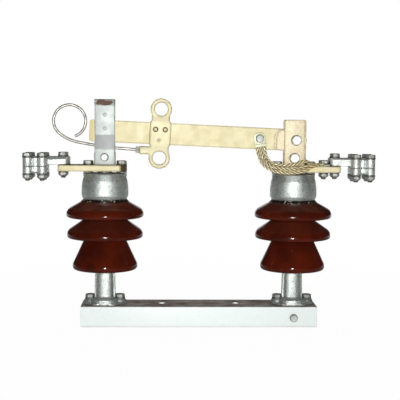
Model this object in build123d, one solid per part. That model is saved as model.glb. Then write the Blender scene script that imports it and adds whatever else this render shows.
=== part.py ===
from build123d import *
from math import cos, radians, sin, tan
import os

# A single-pole disconnect switch. Two post insulators stand on a channel base. The left one
# carries a spring jaw, the right one a hinge, and a blade swings up and out of the jaw.
# Millimetres, X from the jaw to the hinge, Y to the back, Z up, origin under the base's middle.

# Base channel, web up and flanges down
base_overhang = 45
base_depth = 75
base_height = 40
base_wall = 5
base_edge_round = 2
mount_hole_spacing = 144
mount_hole_radius = 6
earth_bolt_from_axis = -2.5
earth_bolt_z = 18

# Insulators: their axes, and the heights of the casting and porcelain above the web
axis_spacing = 365
foot_flange = 14
foot_hub_radius = 24
foot_ear_offset = 30.5
foot_ear_radius = 10.5
stem_base_radius = 19.4
stem_radius = 18.4
porcelain_bottom = 66.5
porcelain_head_radius = 36
porcelain_hollow_depth = 33
stem_socket_depth = 20
shed_radii = (62.3, 73.4, 74.7)
shed_rises = (8, 69, 109)
neck_radii = (42.5, 47, 43)
neck_rises = (51, 91.5)
shed_rim = 15
shed_rim_round = 6.5
neck_round = 5
neck_step = 1
head_round = 4
hollow_waist_radius = 28
hollow_mouth_radius = 53.3
hollow_mouth_rise = 2

# Cap, and the cement that holds the porcelain in it
insulator_height = 254
cap_height = 50
cap_roof = 29.5
cap_top_radius = 40.7
cap_belly_radius = 46
cap_mouth_radius = 42
cap_cup_radius = 39
cap_belly_rise = 14
cap_belly_land = 10
cement_band = 3.5
cement_inset = 1
cap_boss_height = 4
cap_boss_radius = 10
cap_centre_boss_radius = 14
cap_bolt_spacing = 64
cap_screw_depth = 12
cap_tapping_depth = 14

# Terminal bars on the caps
bar_depth = 50
bar_thickness = 12
bar_inner_reach = 42
bar_outer_reach = 89
bar_corner = 8

# Jaw: two sprung strips on a contact block
block_width = 41
block_height = 23
block_bolt_rise = 15
jaw_block_thickness = 22
jaw_strip_width = 38.5
jaw_strip_thickness = 3
jaw_strip_height = 126
jaw_joggle_bottom = 30
jaw_joggle_top = 57
jaw_lip_height = 11
jaw_lip_flare = 9
contact_gap = 0.3

# Blade, in its own frame from the pivot: its tip towards -X, tilted up towards the jaw
pivot_offset = 3
pivot_rise = 49.5
blade_slope = 2.4
blade_overhang = 30
blade_width = 42
blade_thickness = 10
blade_tip_round = 5
cheek_reach = 42
cheek_thickness = 2
cheek_round = 9

# Hinge plates each side of the blade
hinge_plate_width = 39
hinge_plate_thickness = 5
hinge_plate_height = 89
hinge_plate_corner = 4
back_plate_extra = 5.5

# Lever casting with two hook eyes, riveted round the blade
lever_from_tip = 136
lever_thickness = 18
lever_body_width = 42
lever_body_height = 50
lever_neck_width = 34
lever_corner = 6
eye_offset = 47
eye_radius = 20.5
eye_hole_radius = 13
eye_thickness = 13
rivet_spacing = 18.5
rivet_rise = 8
rivet_radius = 4.5
rivet_proud = 0.8
horn_lug_reach = 39
horn_lug_bottom = 41
horn_lug_top = 25
horn_lug_thickness = 14
horn_lug_root = 12

# Wire horn that trails under the blade and ends in an open loop
horn_diameter = 4.6
horn_rise = 4
horn_drop = 33
horn_straight = 94
horn_knee_radius = 60
horn_knee_turn = 14
horn_second_straight = 36
horn_loop_radius = 31
horn_loop_turn = 320
horn_nut_length = 7
horn_nut_flats = 12

# Flexible shunt: three ropes between a lug on the blade and a lug on the right bar
shunt_lug_from_pivot = 70.3
shunt_lug_lean = 8
shunt_lug_width = 22
shunt_lug_plate = 3.2
shunt_ferrule = 7
shunt_ferrule_start = 10.5
shunt_ferrule_end = 16.5
rope_diameter = 6.2
bar_lug_from_axis = 57
bar_lug_y = -9
bar_lug_turn = 40
rope_pitch = 7
# Between the straight stretches at the lugs, each rope's route from the right axis and the
# bar's top, lowest rope first
rope_routes = {
    "low": [(-59.5, -21, -1), (-37.5, -32.5, -10.5), (-11.5, -36, -12), (13.5, -37.5, -8.2)],
    "middle": [(-53.5, -24, 3), (-35.5, -34, -2.5), (-8.5, -33.5, -4.5), (14, -34.2, -2)],
    "high": [(-43.5, -16, 9), (-24.5, -26, 4.5), (-5.5, -32, 4.3), (12, -31.5, 7.5)],
}
rope_exits = {"low": (17, 18.5), "middle": (19, 15), "high": (17, 15)}

# Line clamps on the outer ends of the bars
clamp_bolt_from_axis = 80
arm_width = 27
arm_thickness = 16
arm_chamfer = 5.5
first_column = 38.5
column_spacing = 29
row_spacing = 38
column_radius = 9.5
clamp_side_recess = 4
clamp_split_drop = 3
clamp_gap = 2
arm_overlap = 2
keeper_thickness = 13
conductor_radius = 8

# Bolts: radius, width across flats, head height, nut height
m8 = (4, 13, 5.3, 6.5)
m10 = (5, 17, 6.4, 8)
m12 = (6, 19, 7.5, 10)
washer_thickness = 2
washer_over_flats = 1.15
bolt_tail = 3.5
bolt_clearance = 0.5
pin_clearance = 0.05

# Heights and places that follow from the sizes above
axis_x = axis_spacing / 2
earth_bolt_x = axis_x + earth_bolt_from_axis
web_top = base_height
foot_top = web_top + foot_flange
cap_top = web_top + insulator_height
cap_bottom = cap_top - cap_height
head_top = cap_top - cap_roof
neck_heights = [web_top + porcelain_bottom + rise for rise in neck_rises] + [cap_bottom - cement_band]
bar_bottom = cap_top + cap_boss_height
bar_top = bar_bottom + bar_thickness
block_top = bar_top + block_height
blade_reach = axis_spacing + pivot_offset + blade_overhang
lever_from_pivot = blade_reach - lever_from_tip
pivot = Pos(axis_x + pivot_offset, 0, bar_top + pivot_rise)
blade_frame = pivot * Rot(0, blade_slope, 0)
hinge_gap = blade_thickness + 2 * cheek_thickness + 2 * contact_gap
plate_outer = hinge_gap / 2 + hinge_plate_thickness
facing_front = Rot(90, 0, 0)


def save(name, shape):
    export_step(shape, f"parts/{name}.step")
    print(name, round(sum(solid.volume for solid in shape.solids())), "mm3")


def fused(pieces):
    whole = pieces[0]
    for piece in pieces[1:]:
        whole += piece
    return whole


def block(x0, x1, y0, y1, z0, z1):
    size = Box(x1 - x0, y1 - y0, z1 - z0)
    return Pos((x0 + x1) / 2, (y0 + y1) / 2, (z0 + z1) / 2) * size


def rod(radius, z0, z1):
    return Pos(0, 0, (z0 + z1) / 2) * Cylinder(radius, z1 - z0)


def turned(points, rounds):
    outline = FilletPolyline(*points, radius=rounds, close=True)
    return revolve(Plane.XZ * make_face(outline), Axis.Z)


def hexagon(flats, z0, z1):
    return Pos(0, 0, z0) * extrude(RegularPolygon(flats / 2, 6, major_radius=False), z1 - z0)


def washer_radius(size):
    return size[1] / 2 * washer_over_flats


def bolt(size, grip, tail=bolt_tail):
    """Head up at the origin, clamping from z = 0 down to -grip, with its washers and nut."""
    radius, flats, head, nut = size
    rim = washer_radius(size)
    nut_top = -grip - washer_thickness
    return fused([
        rod(radius, nut_top - nut - tail, washer_thickness),
        rod(rim, 0, washer_thickness),
        hexagon(flats, washer_thickness, washer_thickness + head),
        rod(rim, nut_top, -grip),
        hexagon(flats, nut_top - nut, nut_top),
    ])


def both_sides(name, right_shape):
    save(f"{name}_right", right_shape)
    save(f"{name}_left", Compound([mirror(piece, about=Plane.YZ) for piece in right_shape.solids()]))


def base_channel():
    half_length = axis_x + base_overhang
    half_depth = base_depth / 2
    inside = half_depth - base_wall
    body = block(-half_length, half_length, -half_depth, half_depth, 0, base_height)
    top_edges = body.edges().filter_by(Axis.X).group_by(Axis.Z)[-1]
    body = fillet(top_edges, base_edge_round)
    body -= block(-half_length, half_length, -inside, inside, 0, base_height - base_wall)
    for x in (-mount_hole_spacing / 2, mount_hole_spacing / 2):
        body -= Pos(x, 0, 0) * rod(mount_hole_radius, 0, base_height)
    for axis in (-axis_x, axis_x):
        for ear in (-foot_ear_offset, foot_ear_offset):
            body -= Pos(axis + ear, 0, 0) * rod(m12[0] + bolt_clearance, 0, base_height)
    earth_hole = facing_front * rod(m10[0] + bolt_clearance, inside - 1, half_depth + 1)
    body -= Pos(earth_bolt_x, 0, earth_bolt_z) * earth_hole
    return body


def earth_bolt():
    return Pos(earth_bolt_x, -base_depth / 2, earth_bolt_z) * facing_front * bolt(m10, base_wall)


def foot():
    socket_top = web_top + porcelain_bottom + porcelain_hollow_depth + stem_socket_depth
    stem = turned(
        [
            (0, web_top),
            (foot_hub_radius, web_top),
            (foot_hub_radius, foot_top),
            (stem_base_radius, foot_top),
            (stem_radius, web_top + porcelain_bottom),
            (stem_radius, socket_top),
            (0, socket_top),
        ],
        0,
    )
    ears = block(-foot_ear_offset, foot_ear_offset, -foot_ear_radius, foot_ear_radius, web_top, foot_top)
    for x in (-foot_ear_offset, foot_ear_offset):
        ears += Pos(x, 0, 0) * rod(foot_ear_radius, web_top, foot_top)
    casting = stem + ears
    for x in (-foot_ear_offset, foot_ear_offset):
        casting -= Pos(x, 0, 0) * rod(m12[0] + bolt_clearance, web_top, foot_top)
    return casting


def insulator():
    """The outline runs up the outside, over each shed, and back down inside the hollow foot."""
    bottom = web_top + porcelain_bottom
    hollow_top = bottom + porcelain_hollow_depth
    points = [
        (stem_radius, hollow_top + stem_socket_depth),
        (stem_radius, hollow_top),
        (hollow_waist_radius, hollow_top),
        (hollow_mouth_radius, bottom + hollow_mouth_rise),
    ]
    rounds = [0, 0, 4, 3]
    for shed in range(3):
        tip = bottom + shed_rises[shed]
        if shed > 0:
            points.append((neck_radii[shed - 1] - neck_step, tip - neck_step))
            rounds.append(neck_round)
        points.append((shed_radii[shed], tip - shed_rim / 2))
        points.append((shed_radii[shed], tip + shed_rim / 2))
        points.append((neck_radii[shed], neck_heights[shed]))
        rounds += [shed_rim_round, shed_rim_round, neck_round if shed < 2 else neck_step]
    points += [
        (porcelain_head_radius, cap_bottom - cement_band),
        (porcelain_head_radius, head_top),
        (0, head_top),
        (0, hollow_top + stem_socket_depth),
    ]
    rounds += [0, head_round, 0, 0]
    return turned(points, rounds)


def cement():
    outside = rod(cap_cup_radius, cap_bottom, head_top - head_round)
    bead = rod(cap_mouth_radius - cement_inset, cap_bottom - cement_band, cap_bottom)
    return outside + bead - rod(porcelain_head_radius, cap_bottom - cement_band, head_top)


def cap():
    belly_bottom = cap_bottom + cap_belly_rise - cap_belly_land / 2
    shell = turned(
        [
            (0, head_top),
            (cap_cup_radius, head_top),
            (cap_cup_radius, cap_bottom),
            (cap_mouth_radius, cap_bottom),
            (cap_belly_radius, belly_bottom),
            (cap_belly_radius, belly_bottom + cap_belly_land),
            (cap_top_radius, cap_top),
            (0, cap_top),
        ],
        [0, 0, 0, 1.5, 5, 9, 3, 0],
    )
    shell += rod(cap_centre_boss_radius, cap_top, bar_bottom)
    for x in (-cap_bolt_spacing / 2, cap_bolt_spacing / 2):
        shell += Pos(x, 0, 0) * rod(cap_boss_radius, cap_top, bar_bottom)
        shell -= Pos(x, 0, 0) * rod(m10[0], cap_top - cap_tapping_depth, bar_bottom)
    return shell


def cap_bolts():
    """Two screws down through the bar into the cap's tapped bosses."""
    radius, flats, head, _ = m10
    screw = fused([
        rod(radius, -bar_thickness - cap_boss_height - cap_screw_depth, washer_thickness),
        rod(washer_radius(m10), 0, washer_thickness),
        hexagon(flats, washer_thickness, washer_thickness + head),
    ])
    places = (-cap_bolt_spacing / 2, cap_bolt_spacing / 2)
    return Compound([Pos(x, 0, bar_top) * screw for x in places])


def right_bar():
    inner = axis_x - bar_inner_reach
    outer = axis_x + bar_outer_reach
    bar = block(inner, outer, -bar_depth / 2, bar_depth / 2, bar_bottom, bar_top)
    bar = fillet(bar.edges().filter_by(Axis.Z), bar_corner)
    holes = [axis_x - cap_bolt_spacing / 2, axis_x + cap_bolt_spacing / 2, axis_x + clamp_bolt_from_axis]
    for x in holes:
        bar -= Pos(x, 0, 0) * rod(m10[0] + bolt_clearance, bar_bottom, bar_top)
    return bar


def contact_block(thickness, x):
    body = block(-block_width / 2, block_width / 2, -thickness / 2, thickness / 2, bar_top, block_top)
    hole = facing_front * rod(m10[0] + bolt_clearance, -thickness, thickness)
    return Pos(x, 0, 0) * (body - Pos(0, 0, bar_top + block_bolt_rise) * hole)


def jaw_strip(side):
    """One strip as a bent band: upright on the block, joggled in to the blade, lip flared out."""
    outer_face = jaw_block_thickness / 2
    inner_face = blade_thickness / 2 + contact_gap
    lip_start = bar_top + jaw_strip_height - jaw_lip_height
    lip_top = bar_top + jaw_strip_height
    spine = [
        (outer_face, bar_top),
        (outer_face, bar_top + jaw_joggle_bottom),
        (inner_face, bar_top + jaw_joggle_top),
        (inner_face, lip_start),
        (inner_face + jaw_lip_flare, lip_top),
    ]
    outside = [(y + jaw_strip_thickness, z) for y, z in spine]
    outline = make_face(Polyline(*spine, *reversed(outside), close=True))
    band = extrude(Plane.YZ * outline, jaw_strip_width / 2, both=True)
    if side < 0:
        band = mirror(band, about=Plane.XZ)
    hole = facing_front * rod(m10[0] + bolt_clearance, -jaw_block_thickness, jaw_block_thickness)
    return Pos(-axis_x, 0, 0) * (band - Pos(0, 0, bar_top + block_bolt_rise) * hole)


def cross_bolt(x, z, outer_face):
    return Pos(x, -outer_face, z) * facing_front * bolt(m10, 2 * outer_face)


def blade():
    half = blade_width / 2
    bar = block(-blade_reach, 0, -blade_thickness / 2, blade_thickness / 2, -half, half)
    tip_corners = bar.edges().filter_by(Axis.Y).group_by(Axis.X)[0]
    bar = fillet(tip_corners, blade_tip_round)
    bar += facing_front * rod(half, -blade_thickness / 2, blade_thickness / 2)
    bar -= facing_front * rod(m10[0] + pin_clearance, -blade_thickness, blade_thickness)
    for x in (-rivet_spacing / 2, rivet_spacing / 2):
        hole = facing_front * rod(rivet_radius, -blade_thickness, blade_thickness)
        bar -= Pos(x - lever_from_pivot, 0, rivet_rise) * hole
    lug_hole = facing_front * rod(m8[0] + bolt_clearance, -blade_thickness, blade_thickness)
    return bar - Pos(-shunt_lug_from_pivot, 0, 0) * lug_hole


def cheek(side):
    half = blade_width / 2
    near = blade_thickness / 2
    far = near + cheek_thickness
    plate = block(-cheek_reach, 0, near, far, -half, half)
    plate = fillet(plate.edges().filter_by(Axis.Y).group_by(Axis.X)[0], cheek_round)
    plate += facing_front * rod(half, -far, -near)
    plate -= facing_front * rod(m10[0] + pin_clearance, -far, -near)
    return plate if side > 0 else mirror(plate, about=Plane.XZ)


def hinge_plate(side):
    half = hinge_plate_width / 2
    right = half + (back_plate_extra if side > 0 else 0)
    near = hinge_gap / 2
    plate = block(-half, right, near, near + hinge_plate_thickness, bar_top, bar_top + hinge_plate_height)
    plate = fillet(plate.edges().filter_by(Axis.Y).group_by(Axis.Z)[-1], hinge_plate_corner)
    if side < 0:
        plate = mirror(plate, about=Plane.XZ)
    hole = facing_front * rod(m10[0] + pin_clearance, -plate_outer - 1, plate_outer + 1)
    plate -= Pos(pivot_offset, 0, bar_top + pivot_rise) * hole
    plate -= Pos(0, 0, bar_top + block_bolt_rise) * hole
    return Pos(axis_x, 0, 0) * plate


def lever():
    """Flat casting with an eye above and below the blade, slotted to pass round the blade."""
    half_body = lever_body_width / 2
    half_height = lever_body_height / 2
    half_thick = lever_thickness / 2
    casting = block(-half_body, half_body, -half_thick, half_thick, -half_height, half_height)
    casting = fillet(casting.edges().filter_by(Axis.Y), lever_corner)
    half_neck = lever_neck_width / 2
    half_eye = eye_thickness / 2
    casting += block(-half_neck, half_neck, -half_eye, half_eye, -eye_offset, eye_offset)
    for z in (-eye_offset, eye_offset):
        casting += Pos(0, 0, z) * facing_front * rod(eye_radius, -half_eye, half_eye)
    half_lug = horn_lug_thickness / 2
    root = horn_lug_root - half_body
    casting += block(-horn_lug_reach, root, -half_lug, half_lug, -horn_lug_bottom, -horn_lug_top)
    for z in (-eye_offset, eye_offset):
        casting -= Pos(0, 0, z) * facing_front * rod(eye_hole_radius, -half_thick, half_thick)
    half_blade = blade_thickness / 2
    slot = 2 * lever_body_width
    casting -= block(-slot, slot, -half_blade, half_blade, -blade_width / 2, blade_width / 2)
    for x in (-rivet_spacing / 2, rivet_spacing / 2):
        casting -= Pos(x, 0, rivet_rise) * facing_front * rod(rivet_radius, -half_thick, half_thick)
    nut_seat = horn_plane() * block(-half_lug - 1, half_lug + 1, -half_height, half_height, 0, half_height)
    return Pos(-lever_from_pivot, 0, 0) * casting - nut_seat


def lever_rivets():
    reach = lever_thickness / 2 + rivet_proud
    rivet = facing_front * rod(rivet_radius, -reach, reach)
    places = (-rivet_spacing / 2, rivet_spacing / 2)
    return Compound([Pos(x - lever_from_pivot, 0, rivet_rise) * rivet for x in places])


def horn_plane():
    """Where the wire leaves the lever's lug, facing the way it runs."""
    heading = Vector(-cos(radians(horn_rise)), 0, sin(radians(horn_rise)))
    return Plane(origin=(-lever_from_pivot - horn_lug_reach, 0, -horn_drop), z_dir=heading)


def wire_horn():
    base = horn_plane()
    end = base.origin + base.z_dir * horn_straight
    first = Line((base.origin.X, base.origin.Z), (end.X, end.Z))
    knee = JernArc(first @ 1, first % 1, horn_knee_radius, -horn_knee_turn)
    second = Line(knee @ 1, (knee @ 1) + (knee % 1) * horn_second_straight)
    loop = JernArc(second @ 1, second % 1, horn_loop_radius, -horn_loop_turn)
    path = Plane.XZ * Wire([first.edge(), knee.edge(), second.edge(), loop.edge()])
    return sweep(base * Circle(horn_diameter / 2), path=path)


def horn_nut():
    body = hexagon(horn_nut_flats, 0, horn_nut_length) - rod(horn_diameter / 2, 0, horn_nut_length)
    return horn_plane() * body


def shunt_lug():
    """Flat lug with its bolt hole at the origin and its ferrule towards +X, lying on z = 0."""
    half = shunt_lug_width / 2
    plate = rod(half, 0, shunt_lug_plate)
    plate += block(0, shunt_ferrule_end, -half, half, 0, shunt_lug_plate)
    plate += block(shunt_ferrule_start, shunt_ferrule_end, -half, half, 0, shunt_ferrule)
    return plate - rod(m10[0] + bolt_clearance, 0, shunt_ferrule)


def lug_exit(lug_frame, sideways, run):
    """Where a rope leaves a lug's ferrule, and a point straight out from there."""
    height = shunt_ferrule / 2
    ends = [(lug_frame * Pos(shunt_ferrule_end + out, sideways, height)).position for out in (0, run)]
    return [tuple(end) for end in ends]


def rope(level, sideways):
    """A tube along straight runs joined by arcs as large as the runs allow."""
    blade_run, bar_run = rope_exits[level]
    start = lug_exit(blade_lug_frame, sideways, blade_run)
    end = lug_exit(bar_lug_frame, -sideways, bar_run)
    middle = [(axis_x + x, y, bar_top + z) for x, y, z in rope_routes[level]]
    points = start + middle + end[::-1]
    runs = [Vector(*b) - Vector(*a) for a, b in zip(points, points[1:])]
    rounds = []
    for before, after in zip(runs, runs[1:]):
        shorter = min(before.length, after.length)
        rounds.append(0.45 * shorter / tan(radians(before.get_angle(after) / 2)))
    path = FilletPolyline(*points, radius=rounds)
    section = Plane(origin=points[0], z_dir=runs[0]) * Circle(rope_diameter / 2)
    tube = sweep(section, path=path)
    print("rope length", round(path.length, 1), "radii", [round(r) for r in rounds])
    print("volume over section times length", round(tube.volume / section.area / path.length, 4))
    return tube


def clamp_place(x, y):
    return Pos(axis_x + clamp_bolt_from_axis + x, y, 0)


columns = (first_column, first_column + column_spacing)
rows = (-row_spacing / 2, row_spacing / 2)
clamp_split = bar_top - clamp_split_drop
clamp_top = bar_top + arm_thickness
keeper_bottom = clamp_split - keeper_thickness - clamp_gap / 2


def clamp_half(z0, z1):
    """Four round columns with a web between them."""
    half_row = row_spacing / 2 + column_radius - clamp_side_recess
    half = clamp_place(0, 0) * block(
        columns[0] - column_radius, columns[1] + column_radius, -half_row, half_row, z0, z1
    )
    for x in columns:
        for y in rows:
            half += clamp_place(x, y) * rod(column_radius, z0, z1)
    for x in columns:
        for y in rows:
            half -= clamp_place(x, y) * rod(m10[0] + bolt_clearance, z0, z1)
    return half


def conductor():
    ends = (columns[0] - column_radius, columns[1] + 2 * column_radius)
    return clamp_place(0, 0) * Pos(0, 0, clamp_split) * Rot(0, 90, 0) * rod(conductor_radius, *ends)


def clamp_body():
    half = arm_width / 2
    near = columns[0] - column_radius + arm_overlap
    arm = block(0, near, -half, half, bar_top, clamp_top) + rod(half, bar_top, clamp_top)
    arm = chamfer(arm.faces().sort_by(Axis.Z)[-1].outer_wire().edges().filter_by(Axis.X), arm_chamfer)
    arm -= rod(m10[0] + bolt_clearance, bar_top, clamp_top)
    half = clamp_half(clamp_split + clamp_gap / 2, clamp_top)
    return clamp_place(0, 0) * arm + half - conductor()


def clamp_bolts():
    grip = clamp_top - keeper_bottom
    bolts = [clamp_place(x, y) * Pos(0, 0, clamp_top) * bolt(m10, grip) for x in columns for y in rows]
    arm_bolt = clamp_place(0, 0) * Pos(0, 0, clamp_top) * bolt(m10, arm_thickness + bar_thickness)
    return Compound(bolts + [arm_bolt])


os.makedirs("parts", exist_ok=True)

save("base_channel", base_channel())
save("earth_bolt", earth_bolt())

foot_shape = foot()
foot_bolt = bolt(m12, foot_flange + base_wall)
for side, axis in (("left", -axis_x), ("right", axis_x)):
    at_axis = Pos(axis, 0, 0)
    save(f"foot_{side}", at_axis * foot_shape)
    ears = [Pos(axis + x, 0, foot_top) * foot_bolt for x in (-foot_ear_offset, foot_ear_offset)]
    save(f"foot_bolts_{side}", Compound(ears))
    save(f"insulator_{side}", at_axis * insulator())
    save(f"cement_{side}", at_axis * cement())
    save(f"cap_{side}", at_axis * cap())
    save(f"cap_bolts_{side}", at_axis * cap_bolts())

shunt_bolt_x = axis_x + bar_lug_from_axis
bar = right_bar()
bar_lug_hole = Pos(shunt_bolt_x, bar_lug_y, 0) * rod(m10[0] + bolt_clearance, bar_bottom, bar_top)
save("terminal_bar_left", mirror(bar, about=Plane.YZ))
save("terminal_bar_right", bar - bar_lug_hole)

jaw_outer = jaw_block_thickness / 2 + jaw_strip_thickness
cross_bolt_z = bar_top + block_bolt_rise
save("jaw_block", contact_block(jaw_block_thickness, -axis_x))
save("jaw_strip_front", jaw_strip(-1))
save("jaw_strip_back", jaw_strip(1))
save("jaw_bolt", cross_bolt(-axis_x, cross_bolt_z, jaw_outer))

save("hinge_block", contact_block(hinge_gap, axis_x))
save("hinge_plate_front", hinge_plate(-1))
save("hinge_plate_back", hinge_plate(1))
save("hinge_lower_bolt", cross_bolt(axis_x, cross_bolt_z, plate_outer))
save("hinge_pivot_bolt", cross_bolt(axis_x + pivot_offset, bar_top + pivot_rise, plate_outer))

save("blade", blade_frame * blade())
save("blade_cheek_front", blade_frame * cheek(-1))
save("blade_cheek_back", blade_frame * cheek(1))
save("ring_lever", blade_frame * lever())
save("lever_rivets", blade_frame * lever_rivets())
save("wire_horn", blade_frame * wire_horn())
save("horn_nut", blade_frame * horn_nut())

blade_lug_frame = blade_frame * Pos(-shunt_lug_from_pivot, -blade_thickness / 2, 0) * facing_front
blade_lug_frame = blade_lug_frame * Rot(0, 0, -90 + shunt_lug_lean + blade_slope)
save("shunt_blade_lug", blade_lug_frame * shunt_lug())
lug_face = -blade_thickness / 2 - shunt_lug_plate
blade_bolt = facing_front * bolt(m8, blade_thickness + shunt_lug_plate)
save("shunt_blade_bolt", blade_frame * Pos(-shunt_lug_from_pivot, lug_face, 0) * blade_bolt)

bar_lug_frame = Pos(shunt_bolt_x, bar_lug_y, bar_top) * Rot(0, 0, 180 + bar_lug_turn)
save("shunt_bar_lug", bar_lug_frame * shunt_lug())
bar_bolt = bolt(m10, bar_thickness + shunt_lug_plate)
save("shunt_bar_bolt", Pos(shunt_bolt_x, bar_lug_y, bar_top + shunt_lug_plate) * bar_bolt)

for level, place in (("low", -1), ("middle", 0), ("high", 1)):
    save(f"shunt_rope_{level}", rope(level, place * rope_pitch))

both_sides("clamp_body", clamp_body())
both_sides("clamp_keeper", clamp_half(keeper_bottom, clamp_split - clamp_gap / 2) - conductor())
both_sides("clamp_bolts", clamp_bolts())
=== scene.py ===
import bmesh
import bpy
from math import cos, pi, radians, sin, tan
from mathutils import Matrix, Vector
from mathutils.kdtree import KDTree


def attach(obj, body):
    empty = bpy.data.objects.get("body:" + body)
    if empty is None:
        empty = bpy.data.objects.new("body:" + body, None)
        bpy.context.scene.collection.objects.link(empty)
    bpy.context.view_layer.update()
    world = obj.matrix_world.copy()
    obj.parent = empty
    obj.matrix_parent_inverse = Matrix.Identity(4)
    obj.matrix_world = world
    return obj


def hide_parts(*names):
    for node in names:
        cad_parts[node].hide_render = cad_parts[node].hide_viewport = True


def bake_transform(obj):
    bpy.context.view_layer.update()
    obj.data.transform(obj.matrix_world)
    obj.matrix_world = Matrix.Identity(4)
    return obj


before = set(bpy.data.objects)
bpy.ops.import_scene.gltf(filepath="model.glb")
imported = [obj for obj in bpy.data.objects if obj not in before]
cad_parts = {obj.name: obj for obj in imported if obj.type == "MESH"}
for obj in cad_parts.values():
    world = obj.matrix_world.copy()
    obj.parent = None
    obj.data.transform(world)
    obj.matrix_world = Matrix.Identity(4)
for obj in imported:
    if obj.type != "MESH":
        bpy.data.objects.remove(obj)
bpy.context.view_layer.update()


# --------------------------------------------------------------
# Camera. A short telephoto lens at the height of the blade, a little left of the middle and
# turned a little to the right, looks down on the base.
def in_scene(name, data):
    """A new object that carries the data, linked to the scene."""
    holder = bpy.data.objects.new(name, data)
    bpy.context.collection.objects.link(holder)
    return holder


eye = Vector((-0.060, -1.8363, 0.400))
turn_right = radians(1.91)
look_down = radians(4.90)
lean = radians(0.42)
camera = in_scene("camera", bpy.data.cameras.new("camera"))
camera.data.lens = 85.5
camera.data.sensor_width = 36.0
camera.data.clip_start = 0.1
camera.data.clip_end = 40.0
aim = Matrix.Rotation(-turn_right, 4, "Z") @ Matrix.Rotation(radians(90) - look_down, 4, "X")
camera.matrix_world = Matrix.Translation(eye) @ aim @ Matrix.Rotation(lean, 4, "Z")
bpy.context.scene.camera = camera
bpy.context.scene.view_settings.view_transform = "Standard"


# --------------------------------------------------------------
# Shunt ropes. Three limp ropes of bare copper wire, three strands laid together in each, hang from the
# blade's lug round the front of the right cap to a lug on the bar.
def feed(socket, value):
    """Links a socket to another one, or gives it a plain value."""
    if isinstance(value, bpy.types.NodeSocket):
        socket.id_data.links.new(value, socket)
    elif isinstance(value, tuple):
        socket.default_value = (*value, 1.0)
    else:
        socket.default_value = value


def settle(node, **settings):
    """Gives a node its settings, and feeds those of its sockets that are named."""
    for key, value in settings.items():
        if hasattr(node, key):
            setattr(node, key, value)
        else:
            feed(node.inputs[key.replace("_", " ")], value)


def add(tree, kind, *sources, **settings):
    """A shader node with its settings. The sources feed its sockets in their order."""
    node = tree.nodes.new("ShaderNode" + kind)
    settle(node, **settings)
    for socket, value in zip(node.inputs, sources):
        feed(socket, value)
    return node


def reckon(operation, first, second=0.0):
    tree = (first if isinstance(first, bpy.types.NodeSocket) else second).id_data
    return add(tree, "Math", first, second, operation=operation).outputs[0]


def times(first, second):
    return reckon("MULTIPLY", first, second)


def spread(value, low, high, out_low=0.0, out_high=1.0):
    """Spreads what lies between low and high over another range, and stops at its ends."""
    return add(value.id_data, "MapRange", value, low, high, out_low, out_high).outputs[0]


def over(mask, under, top, kind="MIX"):
    """Lays one colour over another where the mask is."""
    node = add(mask.id_data, "Mix", data_type="RGBA", blend_type=kind, Factor=mask, A=under, B=top)
    return node.outputs["Result"]


def swatch(red, green, blue):
    """A paint chart's 0 to 255 colour as light."""
    return tuple(((c / 255 + 0.055) / 1.055) ** 2.4 for c in (red, green, blue))


def place_in(tree):
    """Where a point is on the finished object, in metres."""
    return add(tree, "TexCoord").outputs["Object"]


def numbers_of(vector):
    """A vector's X, Y and Z."""
    return add(vector.id_data, "SeparateXYZ", vector).outputs


def noise(tree, scale, detail, roughness=0.5):
    settings = {"Scale": scale, "Detail": detail, "Roughness": roughness}
    return add(tree, "TexNoise", Vector=place_in(tree), **settings).outputs["Fac"]


def emptied_tree(owner):
    """The node tree of a material or a world, with nothing in it yet."""
    owner.use_nodes = True
    owner.node_tree.nodes.clear()
    return owner.node_tree


def new_material(name):
    """A plain material, its node tree and its shader."""
    material = bpy.data.materials.new(name)
    tree = emptied_tree(material)
    shader = add(tree, "BsdfPrincipled")
    add(tree, "OutputMaterial", shader.outputs[0])
    return material, tree, shader


def bumped(shader, height, depth, strength=1.0):
    bump = add(shader.id_data, "Bump", Strength=strength, Distance=depth, Height=height)
    settle(shader, Normal=bump.outputs[0])


rope_copper, tree, shader = new_material("rope_copper")
along_strand, round_strand = numbers_of(add(tree, "UVMap", uv_map="UVMap").outputs[0])[:2]
wires_along, wires_round = 260.0, 50.3  # radians of the wires' lay down a strand and once round it
lay = reckon("ADD", times(along_strand, wires_along), times(round_strand, wires_round))
wires = spread(reckon("SINE", lay), -1.0, 1.0)
patina = spread(noise(tree, 120.0, 4.0), 0.40, 0.66, 0.0, 0.55)
browner = spread(numbers_of(place_in(tree))["X"], 0.130, 0.220, 0.0, 0.45)
stain = reckon("ADD", patina, browner)
tone = over(stain, swatch(255, 250, 218), swatch(214, 192, 132))
tone = over(times(wires, 0.22), tone, swatch(140, 116, 66))
# Painted shade: each strand is painted darker on its flanks and darkest in the crevices towards the
# rope's middle, and the ropes are painted darker where they come close together.
relief = add(tree, "Attribute", attribute_name="relief", attribute_type="GEOMETRY").outputs["Fac"]
flank = over(spread(relief, 0.72, 0.88), swatch(158, 132, 80), tone)
tone = over(spread(relief, 0.52, 0.72), swatch(38, 26, 10), flank)
between = add(tree, "AmbientOcclusion", samples=6, Distance=0.004).outputs["AO"]
tone = over(spread(between, 0.50, 0.20, 0.0, 0.85), tone, swatch(52, 38, 16))
metallic = spread(stain, 0.0, 1.0, 0.35, 0.15)
settle(shader, Base_Color=tone, Metallic=metallic, Roughness=spread(stain, 0.0, 1.0, 0.34, 0.55))
bumped(shader, wires, 0.00012)

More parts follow.
